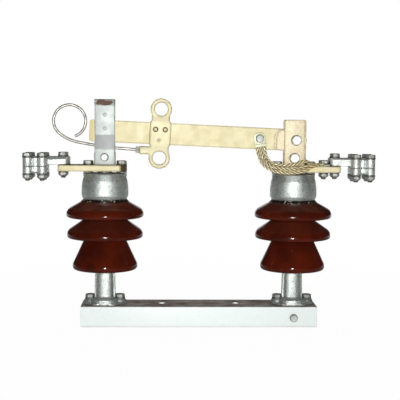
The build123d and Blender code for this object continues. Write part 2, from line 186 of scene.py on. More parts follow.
rope_routes = {
    "low": [
        (0.11063, -0.0085, 0.34513), (0.11299, -0.0085, 0.3283), (0.123, -0.021, 0.309),
        (0.145, -0.0325, 0.2995), (0.172, -0.0365, 0.2972), (0.199, -0.0385, 0.3008),
        (0.21719, -0.03686, 0.3135), (0.23136, -0.02497, 0.3135),
    ],
    "middle": [
        (0.11756, -0.0085, 0.3461), (0.1202, -0.0085, 0.32729), (0.129, -0.024, 0.313),
        (0.147, -0.034, 0.3068), (0.174, -0.0345, 0.3048), (0.1975, -0.0345, 0.3080),
        (0.21537, -0.02925, 0.3135), (0.22686, -0.01961, 0.3135),
    ],
    "high": [
        (0.12449, -0.0085, 0.34708), (0.12660, -0.0085, 0.32900), (0.1346, -0.0195, 0.3152),
        (0.153, -0.0292, 0.3118), (0.176, -0.0325, 0.3126), (0.1945, -0.0322, 0.3192),
        (0.2055, -0.0283, 0.3208), (0.21087, -0.02389, 0.3135), (0.22236, -0.01424, 0.3135),
    ],
}
strand_radius = 0.00162
strand_centre = 0.00186
strand_pitch = 0.0265
strands = 3


def mesh_of(line):
    """The mesh that a curve draws. The curve is used up."""
    holder = in_scene("spare", line)
    bpy.context.view_layer.update()
    drawn = holder.evaluated_get(bpy.context.evaluated_depsgraph_get())
    mesh = bpy.data.meshes.new_from_object(drawn)
    bpy.data.objects.remove(holder)
    bpy.data.curves.remove(line)
    return mesh


def spline_points(name, route):
    """Points along the smooth line that has the route as its control points."""
    line = bpy.data.curves.new(name, "CURVE")
    line.dimensions = "3D"
    line.resolution_u = 24
    spline = line.splines.new("NURBS")
    spline.points.add(len(route) - 1)
    for point, place in zip(spline.points, route):
        point.co = (*place, 1.0)
    spline.order_u = 3
    spline.use_endpoint_u = True
    mesh = mesh_of(line)
    points = [vertex.co.copy() for vertex in mesh.vertices]
    bpy.data.meshes.remove(mesh)
    return points


def laid_rope(name, points, hand, start):
    """Strands wound round the line, a wind every pitch, right or left handed, as one mesh."""
    line = bpy.data.curves.new(name, "CURVE")
    line.dimensions = "3D"
    line.bevel_depth = strand_radius
    line.bevel_resolution = 3
    line.use_fill_caps = True
    splines = [line.splines.new("POLY") for _ in range(strands)]
    side = Vector((0, 1, 0))
    travelled = 0.0
    for spline in splines:
        spline.points.add(len(points) - 1)
    for step, point in enumerate(points):
        heading = (points[min(step + 1, len(points) - 1)] - points[max(step - 1, 0)]).normalized()
        side = (side - heading * side.dot(heading)).normalized()
        other = heading.cross(side)
        if step:
            travelled += (point - points[step - 1]).length
        for strand, spline in enumerate(splines):
            angle = 2 * pi * (hand * travelled / strand_pitch + strand / strands + start)
            place = point + strand_centre * (cos(angle) * side + sin(angle) * other)
            spline.points[step].co = (*place, 1.0)
    mesh = mesh_of(line)
    mesh.name = name
    mesh.shade_smooth()
    middle = KDTree(len(points))
    for index, point in enumerate(points):
        middle.insert(point, index)
    middle.balance()
    relief = mesh.attributes.new("relief", "FLOAT", "POINT")
    for vertex in mesh.vertices:
        reach = middle.find(vertex.co)[2]
        relief.data[vertex.index].value = reach / (strand_centre + strand_radius)
    return mesh


for (level, route), hand, start in zip(rope_routes.items(), (1, 1, -1), (0.0, 0.17, 0.05)):
    points = spline_points(f"rope_line_{level}", route)
    mesh = laid_rope(f"rope_{level}", points, hand, start)
    mesh.materials.clear()
    mesh.materials.append(rope_copper)
    rope = in_scene(f"rope_{level}", mesh)
    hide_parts(f"shunt_rope_{level}")
    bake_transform(rope)


# --------------------------------------------------------------
# Studio. A pale floor in a pale room. A small lamp by the camera gives most of the front light and
# glints on the glaze, a broad one softens it, and four, two beside and two behind, light the rest.
def seen_background(behind):
    """1 for the camera's own rays, and for what metal and glass show of the pale side of the room."""
    path = add(behind.id_data, "LightPath").outputs
    mirrored = reckon("MAXIMUM", path["Is Glossy Ray"], path["Is Transmission Ray"])
    return reckon("MAXIMUM", path["Is Camera Ray"], times(mirrored, behind))


def either(share, first, second):
    """One shader or the other, by the share of the second."""
    return add(share.id_data, "MixShader", share, first.outputs[0], second.outputs[0]).outputs[0]


room = bpy.data.worlds.new("room")
bpy.context.scene.world = room
tree = emptied_tree(room)
in_metal = add(tree, "LightPath").outputs["Is Glossy Ray"]
pale = add(tree, "Background", Color=(1.0, 1.0, 1.0), Strength=1.0)
dimness = spread(in_metal, 0.0, 1.0, 0.08, 0.035)
dim = add(tree, "Background", Color=(0.95, 0.97, 1.0), Strength=dimness)
toward = numbers_of(add(tree, "TexCoord").outputs["Generated"])["Y"]
seen = seen_background(spread(toward, 0.92, 0.97))
add(tree, "OutputWorld", either(seen, dim, pale))

floor_paint = bpy.data.materials.new("floor_paint")
tree = emptied_tree(floor_paint)
paint = add(tree, "BsdfDiffuse", Color=(0.62, 0.62, 0.62))
glow = add(tree, "Emission", Color=(1.0, 1.0, 1.0), Strength=1.0)
place = place_in(tree)
away = add(tree, "VectorMath", place, operation="LENGTH").outputs["Value"]
share = spread(away, 0.30, 1.10, 0.98, 1.0)
behind = spread(numbers_of(place)["Y"], 0.50, 1.50, 0.04, 1.0)
seen = times(seen_background(behind), share)
add(tree, "OutputMaterial", either(seen, paint, glow))


def filled_mesh(name, shape):
    """A mesh with the shape in it. The shape is used up."""
    mesh = bpy.data.meshes.new(name)
    shape.to_mesh(mesh)
    shape.free()
    return mesh


shape = bmesh.new()
bmesh.ops.create_grid(shape, x_segments=1, y_segments=1, size=9.0)
bmesh.ops.translate(shape, verts=shape.verts, vec=(0, 0, -0.0005))
floor = in_scene("floor", filled_mesh("floor", shape))
floor.data.materials.append(floor_paint)


def lamp(name, place, size, power, tint, seen=False):
    """A round lamp that looks at the middle of the switch, and may be seen in its gloss."""
    light = bpy.data.lights.new(name, "AREA")
    light.shape = "DISK"
    light.size = size
    light.energy = power
    light.color = tint
    holder = in_scene(name, light)
    holder.location = place
    holder.visible_glossy = seen
    aim = Vector((0, 0, 0.25)) - Vector(place)
    holder.rotation_euler = aim.to_track_quat("-Z", "Y").to_euler()


cool, warm = (0.97, 0.98, 1.0), (1.0, 0.98, 0.97)
lamp("front_lamp", (-0.10, -2.20, 0.62), 0.60, 5.3, (1.0, 0.99, 0.97))
lamp("flash_lamp", (-0.06, -1.92, 0.42), 0.24, 26.0, (1.0, 0.98, 0.95), True)
lamp("left_lamp", (-2.2, 0.9, 0.7), 1.2, 9.0, cool)
lamp("right_lamp", (2.2, 0.9, 0.7), 1.2, 9.0, warm)
lamp("back_left_lamp", (-0.9, 2.3, 0.8), 1.2, 20.0, cool)
lamp("back_right_lamp", (0.9, 2.3, 0.8), 1.2, 20.0, warm)


# --------------------------------------------------------------
# Base channel. A 75 mm steel channel, web up and flanges down, cut square and drilled for two mounting
# bolts, then dipped in zinc, which has dulled; the web's top is painted darker for dirt and painted
# shade.
def square_bar(x0, x1, y0, y1, z0, z1):
    shape = bmesh.new()
    size = Matrix.Diagonal((x1 - x0, y1 - y0, z1 - z0, 1.0))
    centre = Matrix.Translation(((x0 + x1) / 2, (y0 + y1) / 2, (z0 + z1) / 2))
    bmesh.ops.create_cube(shape, size=1.0, matrix=centre @ size)
    return shape


def round_bar(radius, z0, z1, segments=48):
    shape = bmesh.new()
    bmesh.ops.create_cone(
        shape, cap_ends=True, segments=segments, radius1=radius, radius2=radius, depth=z1 - z0,
        matrix=Matrix.Translation((0, 0, (z0 + z1) / 2)),
    )
    return shape


def turned_over(shape, matrix):
    bmesh.ops.transform(shape, matrix=matrix, verts=shape.verts)
    return shape


def put_at(shape, x=0.0, y=0.0, z=0.0):
    return turned_over(shape, Matrix.Translation((x, y, z)))


def together(*shapes):
    """Several shapes in one. The shapes are used up."""
    whole = bmesh.new()
    for shape in shapes:
        spare = filled_mesh("spare", shape)
        whole.from_mesh(spare)
        bpy.data.meshes.remove(spare)
    return whole


def broken_edges(shape, width, segments=2, angle=30):
    """Takes the sharpness off every edge that turns by more than the angle."""
    sharp = [e for e in shape.edges if e.is_manifold and e.calc_face_angle(0) > radians(angle)]
    bmesh.ops.bevel(
        shape, geom=sharp, offset=width, segments=segments, profile=0.5, affect="EDGES",
        material=-1, clamp_overlap=True,
    )
    return shape


def bent_line(places, radii, closed=True):
    """A line through the places, rounded at the corners that have a radius."""
    shape = bmesh.new()
    corners = [shape.verts.new(place) for place in places]
    for pair in zip(corners, corners[1:] + (corners[:1] if closed else [])):
        shape.edges.new(pair)
    reaches = []
    for corner, radius in zip(corners, radii):
        if radius:
            one, two = [edge.other_vert(corner).co - corner.co for edge in corner.link_edges]
            reaches.append((corner, radius * tan((pi - one.angle(two)) / 2)))
    for corner, reach in reaches:
        bmesh.ops.bevel(
            shape, geom=[corner], offset=reach, segments=6, profile=0.5, affect="VERTICES",
            material=-1,
        )
    return shape


def drawn_out(shape, grown, vector):
    """Moves the new end of what has just been extruded, and gives its corners."""
    ends = [g for g in grown["geom"] if isinstance(g, bmesh.types.BMVert)]
    bmesh.ops.translate(shape, verts=ends, vec=vector)
    return ends


def oblong(x0, x1, z0, z1):
    return [(x0, z0), (x0, z1), (x1, z1), (x1, z0)]


def flat_plate(outline, radii, near, far):
    """An outline seen from the front, its corners rounded, as thick as from near to far."""
    shape = bent_line([(x, near, z) for x, z in outline], radii)
    bmesh.ops.contextual_create(shape, geom=shape.edges[:])
    grown = bmesh.ops.extrude_face_region(shape, geom=shape.faces[:], use_keep_orig=True)
    drawn_out(shape, grown, (0, far - near, 0))
    bmesh.ops.recalc_face_normals(shape, faces=shape.faces)
    return shape


def with_modifiers(shape, *stack):
    """The shape as a stack of modifiers leaves it."""
    mesh = filled_mesh("spare", shape)
    holder = in_scene("spare", mesh)
    for kind, settings in stack:
        modifier = holder.modifiers.new(kind, kind)
        for key, value in settings.items():
            setattr(modifier, key, value)
    bpy.context.view_layer.update()
    result = bmesh.new()
    result.from_object(holder, bpy.context.evaluated_depsgraph_get())
    bpy.data.objects.remove(holder)
    bpy.data.meshes.remove(mesh)
    return result


def cut(shape, cutter, operation="DIFFERENCE"):
    """The shape less the cutter's volume, or what the two share."""
    mesh = filled_mesh("cutter", cutter)
    holder = in_scene("cutter", mesh)
    settings = {"object": holder, "operation": operation, "solver": "EXACT", "use_self": True}
    result = with_modifiers(shape, ("BOOLEAN", settings))
    bpy.data.objects.remove(holder)
    bpy.data.meshes.remove(mesh)
    return result


# Degrees past which an edge shades sharp, where they aren't a cut bar's 35.
sharp_angles = {
    "zinc_bolt": 22, "porcelain": 40, "silver_casting": 50, "clamp_casting": 50, "zinc_wire": 50,
}


def piece(name, shape, materials, node, slot, body="frame", sharp=None):
    """Takes a shape from millimetres to metres and makes it a piece that rides on a body."""
    turned_over(shape, Matrix.Scale(0.001, 4))
    bmesh.ops.remove_doubles(shape, verts=shape.verts, dist=1e-7)
    bmesh.ops.recalc_face_normals(shape, faces=shape.faces)
    mesh = filled_mesh(name, shape)
    mesh.shade_smooth()
    mesh.set_sharp_from_angle(angle=radians(sharp or sharp_angles.get(slot, 35)))
    for material in materials if isinstance(materials, list) else [materials]:
        mesh.materials.append(material)
    made = in_scene(name, mesh)
    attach(made, body)
    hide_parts(node)


def effect(name, inputs, outputs):
    """An empty group of shader nodes, with its sockets inside."""
    group = bpy.data.node_groups.new(name, "ShaderNodeTree")
    for title, value in inputs:
        socket = group.interface.new_socket(title, in_out="INPUT", socket_type="NodeSocketFloat")
        socket.default_value = value
    for title in outputs:
        group.interface.new_socket(title, in_out="OUTPUT", socket_type="NodeSocketFloat")
    given = group.nodes.new("NodeGroupInput").outputs
    return group, given, group.nodes.new("NodeGroupOutput").inputs


# Stains and grain: soft blotches some centimetres wide, specks, and the height of a fine grain.
stains_and_grain, given, made = effect(
    "stains_and_grain", [("Blotch Scale", 25.0), ("Grain Scale", 700.0)], ["Blotch", "Speck", "Grain"]
)
tree = stains_and_grain
for title, scale, detail, low, high in (
    ("Blotch", given["Blotch Scale"], 4.0, 0.36, 0.66),
    ("Speck", times(given["Grain Scale"], 0.35), 2.0, 0.56, 0.70),
    ("Grain", given["Grain Scale"], 3.0, 0.20, 0.80),
):
    feed(made[title], spread(noise(tree, scale, detail, 0.55), low, high))

# Worn and shaded edges: where the surface turns a corner within the width. Most metals paint them
# dark, as painted shade where an edge turns from the light, with some wear.
worn_and_shaded_edges, given, made = effect("worn_and_shaded_edges", [("Width", 0.0012)], ["Mask"])
tree = worn_and_shaded_edges
rounded = add(tree, "Bevel", samples=4, Radius=given["Width"]).outputs["Normal"]
true_normal = add(tree, "NewGeometry").outputs["Normal"]
agreement = add(tree, "VectorMath", rounded, true_normal, operation="DOT_PRODUCT").outputs["Value"]
feed(made["Mask"], spread(agreement, 0.992, 0.91))

# Dust and shade: a mask on what faces up, for dust and painted shade, and one in corners that a rag
# can't reach, for dirt and painted shade.
dust_dirt_and_shade, given, made = effect(
    "dust_dirt_and_shade", [("Reach", 0.010), ("Patch Scale", 60.0)], ["Dust", "Corners"]
)
tree = dust_dirt_and_shade
facing_up = numbers_of(add(tree, "NewGeometry").outputs["Normal"])["Z"]
uneven = spread(noise(tree, given["Patch Scale"], 5.0, 0.6), 0.30, 0.62, 0.72, 1.0)
shelter = add(tree, "AmbientOcclusion", samples=6, Distance=given["Reach"]).outputs["AO"]
feed(made["Dust"], times(spread(facing_up, 0.5, 0.95), uneven))
feed(made["Corners"], times(spread(shelter, 0.72, 0.25), uneven))


def placed(tree, group, **values):
    """What an effect puts out in a material, with this material's values."""
    return add(tree, "Group", node_tree=group, **values).outputs


def worn_metal(
    name, clean, stained, metallic, roughness, blotch=60.0, stain=0.6, specks=0.6, grain=700.0,
    depth=0.05, edge=None, edge_width=4.4, edge_share=0.85, dust=(118, 104, 94), dusty=0.6,
    dirty=0.6, reach=6.0,
):
    """Metal with stains, a grain that catches the light, edges worn and in painted shade, grit and
    painted shade on its tops, and soil and painted shade in its corners.
    """
    material, tree, shader = new_material(name)
    surface = placed(tree, stains_and_grain, Blotch_Scale=blotch, Grain_Scale=grain)
    dirt = placed(tree, dust_dirt_and_shade, Reach=reach / 1000, Patch_Scale=blotch * 2.5)
    tone = over(times(surface["Blotch"], stain), swatch(*clean), swatch(*stained))
    tone = over(times(surface["Speck"], specks), tone, swatch(*stained))
    # Edges take the edge colour: where it is dark, this is painted shade with some wear.
    if edge:
        corner = placed(tree, worn_and_shaded_edges, Width=edge_width / 1000)["Mask"]
        tone = over(times(corner, edge_share), tone, swatch(*edge))
    # Corners are painted darker, for dirt and painted shade, and what faces up takes the dust colour,
    # for dust and painted shade.
    deep = tuple(c * 0.4 for c in swatch(*dust))
    tone = over(times(dirt["Corners"], dirty), tone, deep)
    cover = times(dirt["Dust"], dusty)
    satin = spread(surface["Blotch"], 0.0, 1.0, roughness - 0.06, roughness + 0.08)
    settle(
        shader, Base_Color=over(cover, tone, swatch(*dust)), Specular_IOR_Level=0.2,
        Metallic=spread(cover, 0.0, 1.0, metallic, 0.0),
        Roughness=reckon("ADD", satin, times(cover, 0.3)),
    )
    bumped(shader, surface["Grain"], depth / 1000)
    return material


def tinted(material, mask, colour, kind="MIX"):
    """Lays one more colour over what a material already has."""
    base = material.node_tree.nodes["Principled BSDF"].inputs["Base Color"]
    feed(base, over(mask, base.links[0].from_socket, swatch(*colour), kind))


# The web's top is painted dark brown, for dust and painted shade.
galvanised = worn_metal(
    "galvanised", (247, 255, 255), (244, 255, 254), 0.10, 0.55, blotch=12.0, stain=0.7, specks=0.2,
    grain=380.0, depth=0.04, edge=(200, 206, 206), edge_width=1.6, edge_share=0.5,
    dust=(112, 92, 82), dusty=0.97, dirty=0.35, reach=10.0,
)
tree = galvanised.node_tree
crystals = add(tree, "TexVoronoi", Vector=place_in(tree), Scale=150.0).outputs["Color"]
frost = times(numbers_of(crystals)[0], 0.07)
tinted(galvanised, frost, (196, 206, 212), "MULTIPLY")

half_length, half_width, web_under, web_top = 227.5, 37.5, 35, 40
channel_section = [
    (-half_width, 0), (-half_width, web_top), (half_width, web_top), (half_width, 0),
    (32.5, 0), (32.5, web_under), (-32.5, web_under), (-32.5, 0),
]
channel_radii = [1.5, 2.5, 2.5, 1.5, 1.5, 4, 4, 1.5]
channel = flat_plate(channel_section, channel_radii, -half_length, half_length)
turned_over(channel, Matrix.Rotation(radians(90), 4, "Z"))
holes = [put_at(round_bar(6.0, 20, 60), x) for x in (-72, 72)]
channel = broken_edges(cut(channel, together(*holes)), 0.5)
piece("channel", channel, galvanised, "base_channel", "galvanised_steel")


# --------------------------------------------------------------
# Feet. Each insulator stands on a cast iron foot, a stem with a fin each side on an oval flange
# with two round ears, painted silver over a sand-cast skin, and bolted down through the web.
def turning(outline, radii, segments=96, ring=False):
    """A turned part from its (radius, height) outline, from axis to axis or all round a ring."""
    shape = bent_line([(radius, 0, height) for radius, height in outline], radii, ring)
    bmesh.ops.spin(
        shape, geom=shape.verts[:] + shape.edges[:], cent=(0, 0, 0), axis=(0, 0, 1), angle=2 * pi,
        steps=segments, use_merge=True,
    )
    bmesh.ops.remove_doubles(shape, verts=shape.verts, dist=1e-4)
    bmesh.ops.dissolve_degenerate(shape, dist=1e-4, edges=shape.edges)
    bmesh.ops.recalc_face_normals(shape, faces=shape.faces)
    return shape


def laid_flat(outline, radii, z0, z1):
    """A plate lying down, from its outline seen from above."""
    return turned_over(flat_plate(outline, radii, -z1, -z0), Matrix.Rotation(radians(-90), 4, "X"))


def casting(shape, cell, passes):
    """Runs overlapping shapes together and softens where they meet, as a casting's fillets do."""
    return with_modifiers(
        shape,
        ("REMESH", {"mode": "VOXEL", "voxel_size": cell}),
        ("SMOOTH", {"factor": 0.5, "iterations": passes}),
    )


axis_x = 182.5
sides = (("left", -axis_x), ("right", axis_x))


def pair_of(shape, reach, z=0.0):
    """Two of a shape, one each side of the middle. The shape is used up."""
    return together(put_at(shape.copy(), -reach, 0, z), put_at(shape, reach, 0, z))


def both_sides(name, shape, materials, node, slot):
    """A piece on each insulator's axis, alike on the left and the right. The shape is used up."""
    for side, place in sides:
        copy = put_at(shape.copy(), place)
        piece(name.format(side), copy, materials, node.format(side), slot)
    shape.free()


silver_paint = worn_metal(
    "silver_paint", (220, 228, 225), (104, 111, 106), 1.0, 0.53, stain=0.12, specks=1.0,
    grain=1250.0, depth=0.16, edge=(236, 240, 238), edge_width=1.4, edge_share=0.6,
    dust=(108, 102, 96), dusty=0.45, dirty=0.75, reach=9.0,
)


def oval_stem(low=45, high=159, half_width=15.6, half_depth=13.0, squareness=2.4, growth=0.13):
    """A stem between round and square, growing wider towards its foot."""
    stem = round_bar(1.0, low, high, 64)
    for vertex in stem.verts:
        wider = 1 + growth * (high - vertex.co.z) / (high - low)
        across, deep = abs(vertex.co.x) ** squareness, abs(vertex.co.y) ** squareness
        reach = (across + deep) ** (-1 / squareness) * wider
        vertex.co.x *= half_width * reach
        vertex.co.y *= half_depth * reach
    return stem


flange = [
    (-40.5, -16), (-19, -33), (19, -33), (40.5, -16), (40.5, 16), (19, 33), (-19, 33), (-40.5, 16),
]
fin = [(-20.6, 45), (-18.9, 106.5), (-18.2, 159), (18.2, 159), (18.9, 106.5), (20.6, 45)]
ear = turning([(0, 42), (15.4, 42), (15.2, 46), (12.6, 50.6), (0, 50.6)], [0, 0, 3, 1.5, 0], 48)
foot = together(
    laid_flat(flange, [12] * 8, 40.1, 43.4),
    pair_of(ear, 26),
    laid_flat(oblong(-26, 26, -33.8, 33.8), [23] * 4, 40.1, 51.4),
    turning([(0, 50), (22.5, 50), (22.5, 52), (0, 55)], [0, 0, 2, 0]),
    oval_stem(),
    flat_plate(fin, [0] * 6, -6.5, 6.5),
)
both_sides("foot_{}_casting", casting(foot, 1.05, 6), silver_paint, "foot_{}", "silver_casting")


# --------------------------------------------------------------
# Foot bolts and earth bolt. Zinc-plated hexagon bolts with chamfered heads, plain washers, and turned
# threads that stand a little proud of their nuts. The washers are a darker copy of the zinc, as
# painted shade under the heads and nuts.
def hexagon(flats, z0, z1, bottom=None):
    """Hexagon bar with its top corners turned off at 30 degrees, and its bottom ones by a length."""
    corner = flats / 2 / cos(radians(30))
    face, past = flats / 2 * 0.96, corner * 1.01
    drop = (corner - face) * tan(radians(30))
    bar = turned_over(round_bar(corner, z0, z1, 6), Matrix.Rotation(radians(30), 4, "Z"))
    outline = [(0, z0)]
    outline += [(corner - bottom, z0), (past, z0 + bottom)] if bottom else [(past, z0)]
    outline += [(past, z1 - drop), (face, z1), (0, z1)]
    return cut(bar, turning(outline, [0] * len(outline), 48), "INTERSECT")


def in_second(shape):
    """Gives a shape the second of its piece's materials."""
    for face in shape.faces:
        face.material_index = 1
    return shape


def washer(radius, z0, z1):
    return in_second(turning([(0, z0), (radius, z0), (radius, z1), (0, z1)], [0, 0.4, 0.5, 0], 40))


def threaded_shank(radius, z0, z1, pitch):
    """A bolt's shank from under its head, threaded from z0 down to z1, its tip rounded."""
    outline = [(0, 2.5), (radius, 2.5), (radius, z0)]
    height = z0
    while height - pitch > z1 + 1.2:
        outline += [(radius, height - pitch * 0.15), (radius - 0.55 * pitch, height - pitch * 0.5)]
        outline += [(radius, height - pitch * 0.85)]
        height -= pitch
    outline += [(radius - 0.2, z1 + 1.4), (radius - 1.2, z1), (0, z1)]
    return turning(outline, [0] * len(outline), 32)


# Shank radius, width across flats, head height, nut height and thread pitch.
bolt_sizes = {"m8": (4, 13, 5.3, 6.5, 1.25), "m10": (5, 17, 6.4, 8, 1.5)}
washer_height = 2


def bolt(size, grip, nut=True, tail=3.5):
    """A bolt with its head up that clamps from z = 0 down to the grip, with its washers and nut."""
    radius, flats, head, nut_height, pitch = bolt_sizes[size]
    rim = flats / 2 * 1.2
    parts = [washer(rim, 0, washer_height), hexagon(flats, washer_height, washer_height + head)]
    if nut:
        top = -grip - washer_height
        under = top - nut_height
        parts += [washer(rim, top, -grip), hexagon(flats, under, top, flats * 0.20)]
        parts += [threaded_shank(radius, under + 1, under - tail, pitch)]
    else:
        parts += [round_bar(radius, -grip, 2.5, 32)]
    return together(*parts)


def zinc_plating(name, clean, stained, metallic, roughness, **rest):
    """Worn zinc plating, darker in its corners with handling and painted shade."""
    usual = {"blotch": 110.0, "stain": 0.8, "specks": 0.5, "depth": 0.06, "dust": (84, 80, 72)}
    values = {**usual, "dusty": 0.7, "dirty": 0.95, **rest}
    return worn_metal(name, clean, stained, metallic, roughness, **values)


zinc = zinc_plating(
    "zinc_plate", (178, 182, 178), (116, 118, 112), 0.55, 0.48, edge=(92, 92, 86), edge_width=2.4,
    edge_share=0.8,
)
# Darker copies of the zinc for the washers: painted shade under the heads and nuts.
shaded_washer_zinc = zinc_plating("shaded_washer_zinc", (146, 148, 142), (92, 92, 86), 0.85, 0.55)
deeper_shaded_washer_zinc = zinc_plating("deeper_shaded_washer_zinc", (96, 98, 94), (70, 70, 66), 0.6, 0.58)
satin_zinc = zinc_plating(
    "satin_zinc", (206, 214, 209), (178, 186, 180), 0.15, 0.45, depth=0.05, edge=(84, 84, 78),
    edge_width=2.6, edge_share=0.8, dirty=0.9, reach=5.0,
)
plated_bolt = [zinc, shaded_washer_zinc]
foot_bolts = pair_of(bolt("m10", 15), 28.6, 50)
both_sides("foot_bolt_pair_{}", foot_bolts, plated_bolt, "foot_bolts_{}", "zinc_bolt")

facing_front = Matrix.Rotation(radians(90), 4, "X")
earth = put_at(turned_over(bolt("m8", 5), facing_front), axis_x, -half_width, 18)
piece("earth_terminal", earth, [satin_zinc, shaded_washer_zinc], "earth_bolt", "zinc_bolt")


# --------------------------------------------------------------
# Insulators. Wet-process porcelain turned in one piece with three sloping sheds, hollow below, glazed
# dark red-brown; the glaze thins to a redder brown over the rims, and is painted darker in corners and
# under the sheds as shade.
glaze, tree, shader = new_material("brown_glaze")
cloud = spread(noise(tree, 22.0, 3.0), 0.38, 0.64)
thin = placed(tree, worn_and_shaded_edges, Width=0.005)["Mask"]
tone = over(cloud, swatch(80, 24, 9), swatch(58, 16, 6))
tone = over(times(thin, 0.5), tone, swatch(104, 32, 14))
pit = spread(noise(tree, 800.0, 1.0), 0.68, 0.76)
tone = over(times(pit, 0.4), tone, swatch(130, 62, 44))
dust = placed(tree, dust_dirt_and_shade, Reach=0.012, Patch_Scale=70.0)
film = times(dust["Dust"], 0.10)
# Painted shade darkens the glaze in corners and under the sheds; what faces up takes a pale film of
# dust.
tone = over(times(dust["Corners"], 0.55), tone, swatch(22, 6, 4))
tone = over(film, tone, swatch(120, 90, 76))
gloss = spread(cloud, 0.0, 1.0, 0.10, 0.17)
settle(shader, Base_Color=tone, Roughness=gloss, Specular_IOR_Level=0.20)
bumped(shader, noise(tree, 45.0, 1.0), 0.0006, 0.5)

# Radius, height and rounding of each corner, from the hollow up over the sheds to the head.
porcelain_corners = [
    (18.4, 159.5, 0), (18.4, 139.5, 0), (28, 139.5, 4), (53.3, 108.5, 3),
    (62.6, 105.2, 6.5), (62.6, 118.5, 12), (40.5, 166, 4),
    (40.5, 173.5, 4), (73.4, 168, 5.5), (73.4, 183.2, 14), (41.5, 205, 4),
    (41.5, 213.5, 4), (74.7, 208, 5.5), (74.7, 223.6, 14), (42, 242, 2),
    (36, 240.5, 0), (36, 264.5, 4), (0, 264.5, 0), (0, 159.5, 0),
]
porcelain = turning([c[:2] for c in porcelain_corners], [c[2] for c in porcelain_corners], 128, True)
both_sides("insulator_{}_porcelain", porcelain, glaze, "insulator_{}", "porcelain")


# --------------------------------------------------------------
# Cement. Portland cement holds the porcelain's head in the cap, and is sealed where it shows with
# black bitumen, brushed on by hand, so it is lumpy and glints here and there; small pale flecks are
# painted on it as glints.
bitumen, tree, shader = new_material("bitumen")
lumps = noise(tree, 300.0, 4.0, 0.6)
# Painted glints: small pale flecks in patches.
glint_cells = add(tree, "TexVoronoi", Vector=place_in(tree), Scale=230.0).outputs["Distance"]
patch = spread(noise(tree, 60.0, 2.0), 0.47, 0.53)
painted_glints = times(spread(glint_cells, 0.42, 0.30), patch)
tone = over(lumps, swatch(10, 7, 5), swatch(26, 19, 13))
tone = over(painted_glints, tone, swatch(214, 206, 186))
gloss = spread(lumps, 0.35, 0.65, 0.22, 0.75)
settle(shader, Base_Color=tone, Roughness=gloss, Specular_IOR_Level=0.25)
bumped(shader, lumps, 0.0012)

bead_outline = [
    (36.2, 239), (45.5, 237.6), (46.8, 239), (42.4, 243.6), (41, 244.4), (39, 244.6), (39, 260),
    (36.2, 260),
]
cement = turning(bead_outline, [0, 0, 0.6, 1.2, 0.3, 0, 0, 0], 120, True)
for side, place in sides:
    bead = cement.copy()
    for vert in bead.verts:
        if vert.co.z < 243 and Vector(vert.co[:2]).length > 39:
            angle = Vector((1, 0)).angle_signed(Vector(vert.co[:2]))
            ripple = 0.5 * sin(9 * angle + place) + 0.3 * sin(23 * angle) + 0.2 * sin(41 * angle + 1)
            vert.co.x *= 1 + 0.02 * ripple
            vert.co.y *= 1 + 0.02 * ripple
            vert.co.z -= 0.5 * ripple
    piece(f"cement_{side}_bead", put_at(bead, place), bitumen, f"cement_{side}", "cement")
cement.free()


# --------------------------------------------------------------
# Caps. Malleable iron cups cast with three low bosses on top, two of them tapped for the bar's
# screws; they are painted silver like the feet, and the bitumen spreads a little past their rims.
boss_x = 32
cup_outline = [
    (0, 265), (38.6, 265), (38.6, 244), (42, 244), (45.2, 252), (45, 265), (43.2, 280),
    (38.4, 294), (0, 294),
]
cap = together(
    turning(cup_outline, [0, 0, 0.8, 1.6, 6, 25, 14, 1.5, 0], 120),
    round_bar(14, 288, 298),
    pair_of(round_bar(10, 288, 298), boss_x),
)
both_sides("cap_{}_casting", casting(cap, 1.25, 2), silver_paint, "cap_{}", "silver_casting")


# --------------------------------------------------------------
# Cap screws. Two zinc-plated hexagon screws with plain washers go down through each bar into the
# tapped bosses of the cap.
bar_under, bar_top = 298, 310
cap_screws = pair_of(bolt("m10", 27, nut=False), boss_x, bar_top)
both_sides("cap_screw_pair_{}", cap_screws, plated_bolt, "cap_bolts_{}", "zinc_bolt")


# --------------------------------------------------------------
# Terminal bars. Flat hard-drawn copper bar with round corners, plated a pale brass, one lying on each
# cap and reaching out under its line clamp; the tops are painted brown for dirt and painted shade.
# The bars' tops are painted brown, for dirt and painted shade.
brass = worn_metal(
    "pale_brass", (234, 226, 190), (220, 210, 162), 0.05, 0.50, specks=0.7, grain=1300.0,
    depth=0.03, edge=(122, 110, 74), dust=(92, 74, 46), dusty=0.92, dirty=0.65,
)

# The bars' rounded inner ends, which turn from the light, are painted dark brown as shade, and the
# blade's tip where it stands past the jaw is painted a little darker too.
along = numbers_of(place_in(brass.node_tree))
inner = spread(reckon("ABSOLUTE", along["X"]), 0.1550, 0.1500)
level = spread(along["Z"], 0.3106, 0.3102)
tinted(brass, times(inner, times(level, 0.95)), (66, 48, 24))
past_jaw = spread(along["X"], -0.2025, -0.2045)
tip = times(past_jaw, reckon("SUBTRACT", 1.0, level))
tinted(brass, times(tip, 0.8), (208, 194, 146))

half_turn = Matrix.Rotation(pi, 4, "Z")
no_turn = Matrix.Identity(4)
bar_outline = oblong(140.5, 271.5, -25, 25)
for side, turn in (("left", half_turn), ("right", no_turn)):
    bar = broken_edges(laid_flat(bar_outline, [20, 20, 6, 6], bar_under, bar_top), 0.8)
    piece(f"bar_{side}", turned_over(bar, turn), brass, f"terminal_bar_{side}", "plated_brass")


# --------------------------------------------------------------
# Jaw. A brass block stands on the left bar between two sprung strips of tinned copper, which are
# joggled in to grip the blade and flared at the top, where the tin has gone and it is bare brown; the
# joggles are painted darker as shade.
tinned_strip = worn_metal(
    "tinned_strip", (208, 215, 213), (192, 202, 201), 0.22, 0.50, blotch=55.0, stain=0.7,
    grain=1100.0, edge=(78, 82, 80), edge_width=4.2, dust=(110, 98, 86), dusty=0.4, dirty=0.5,
)

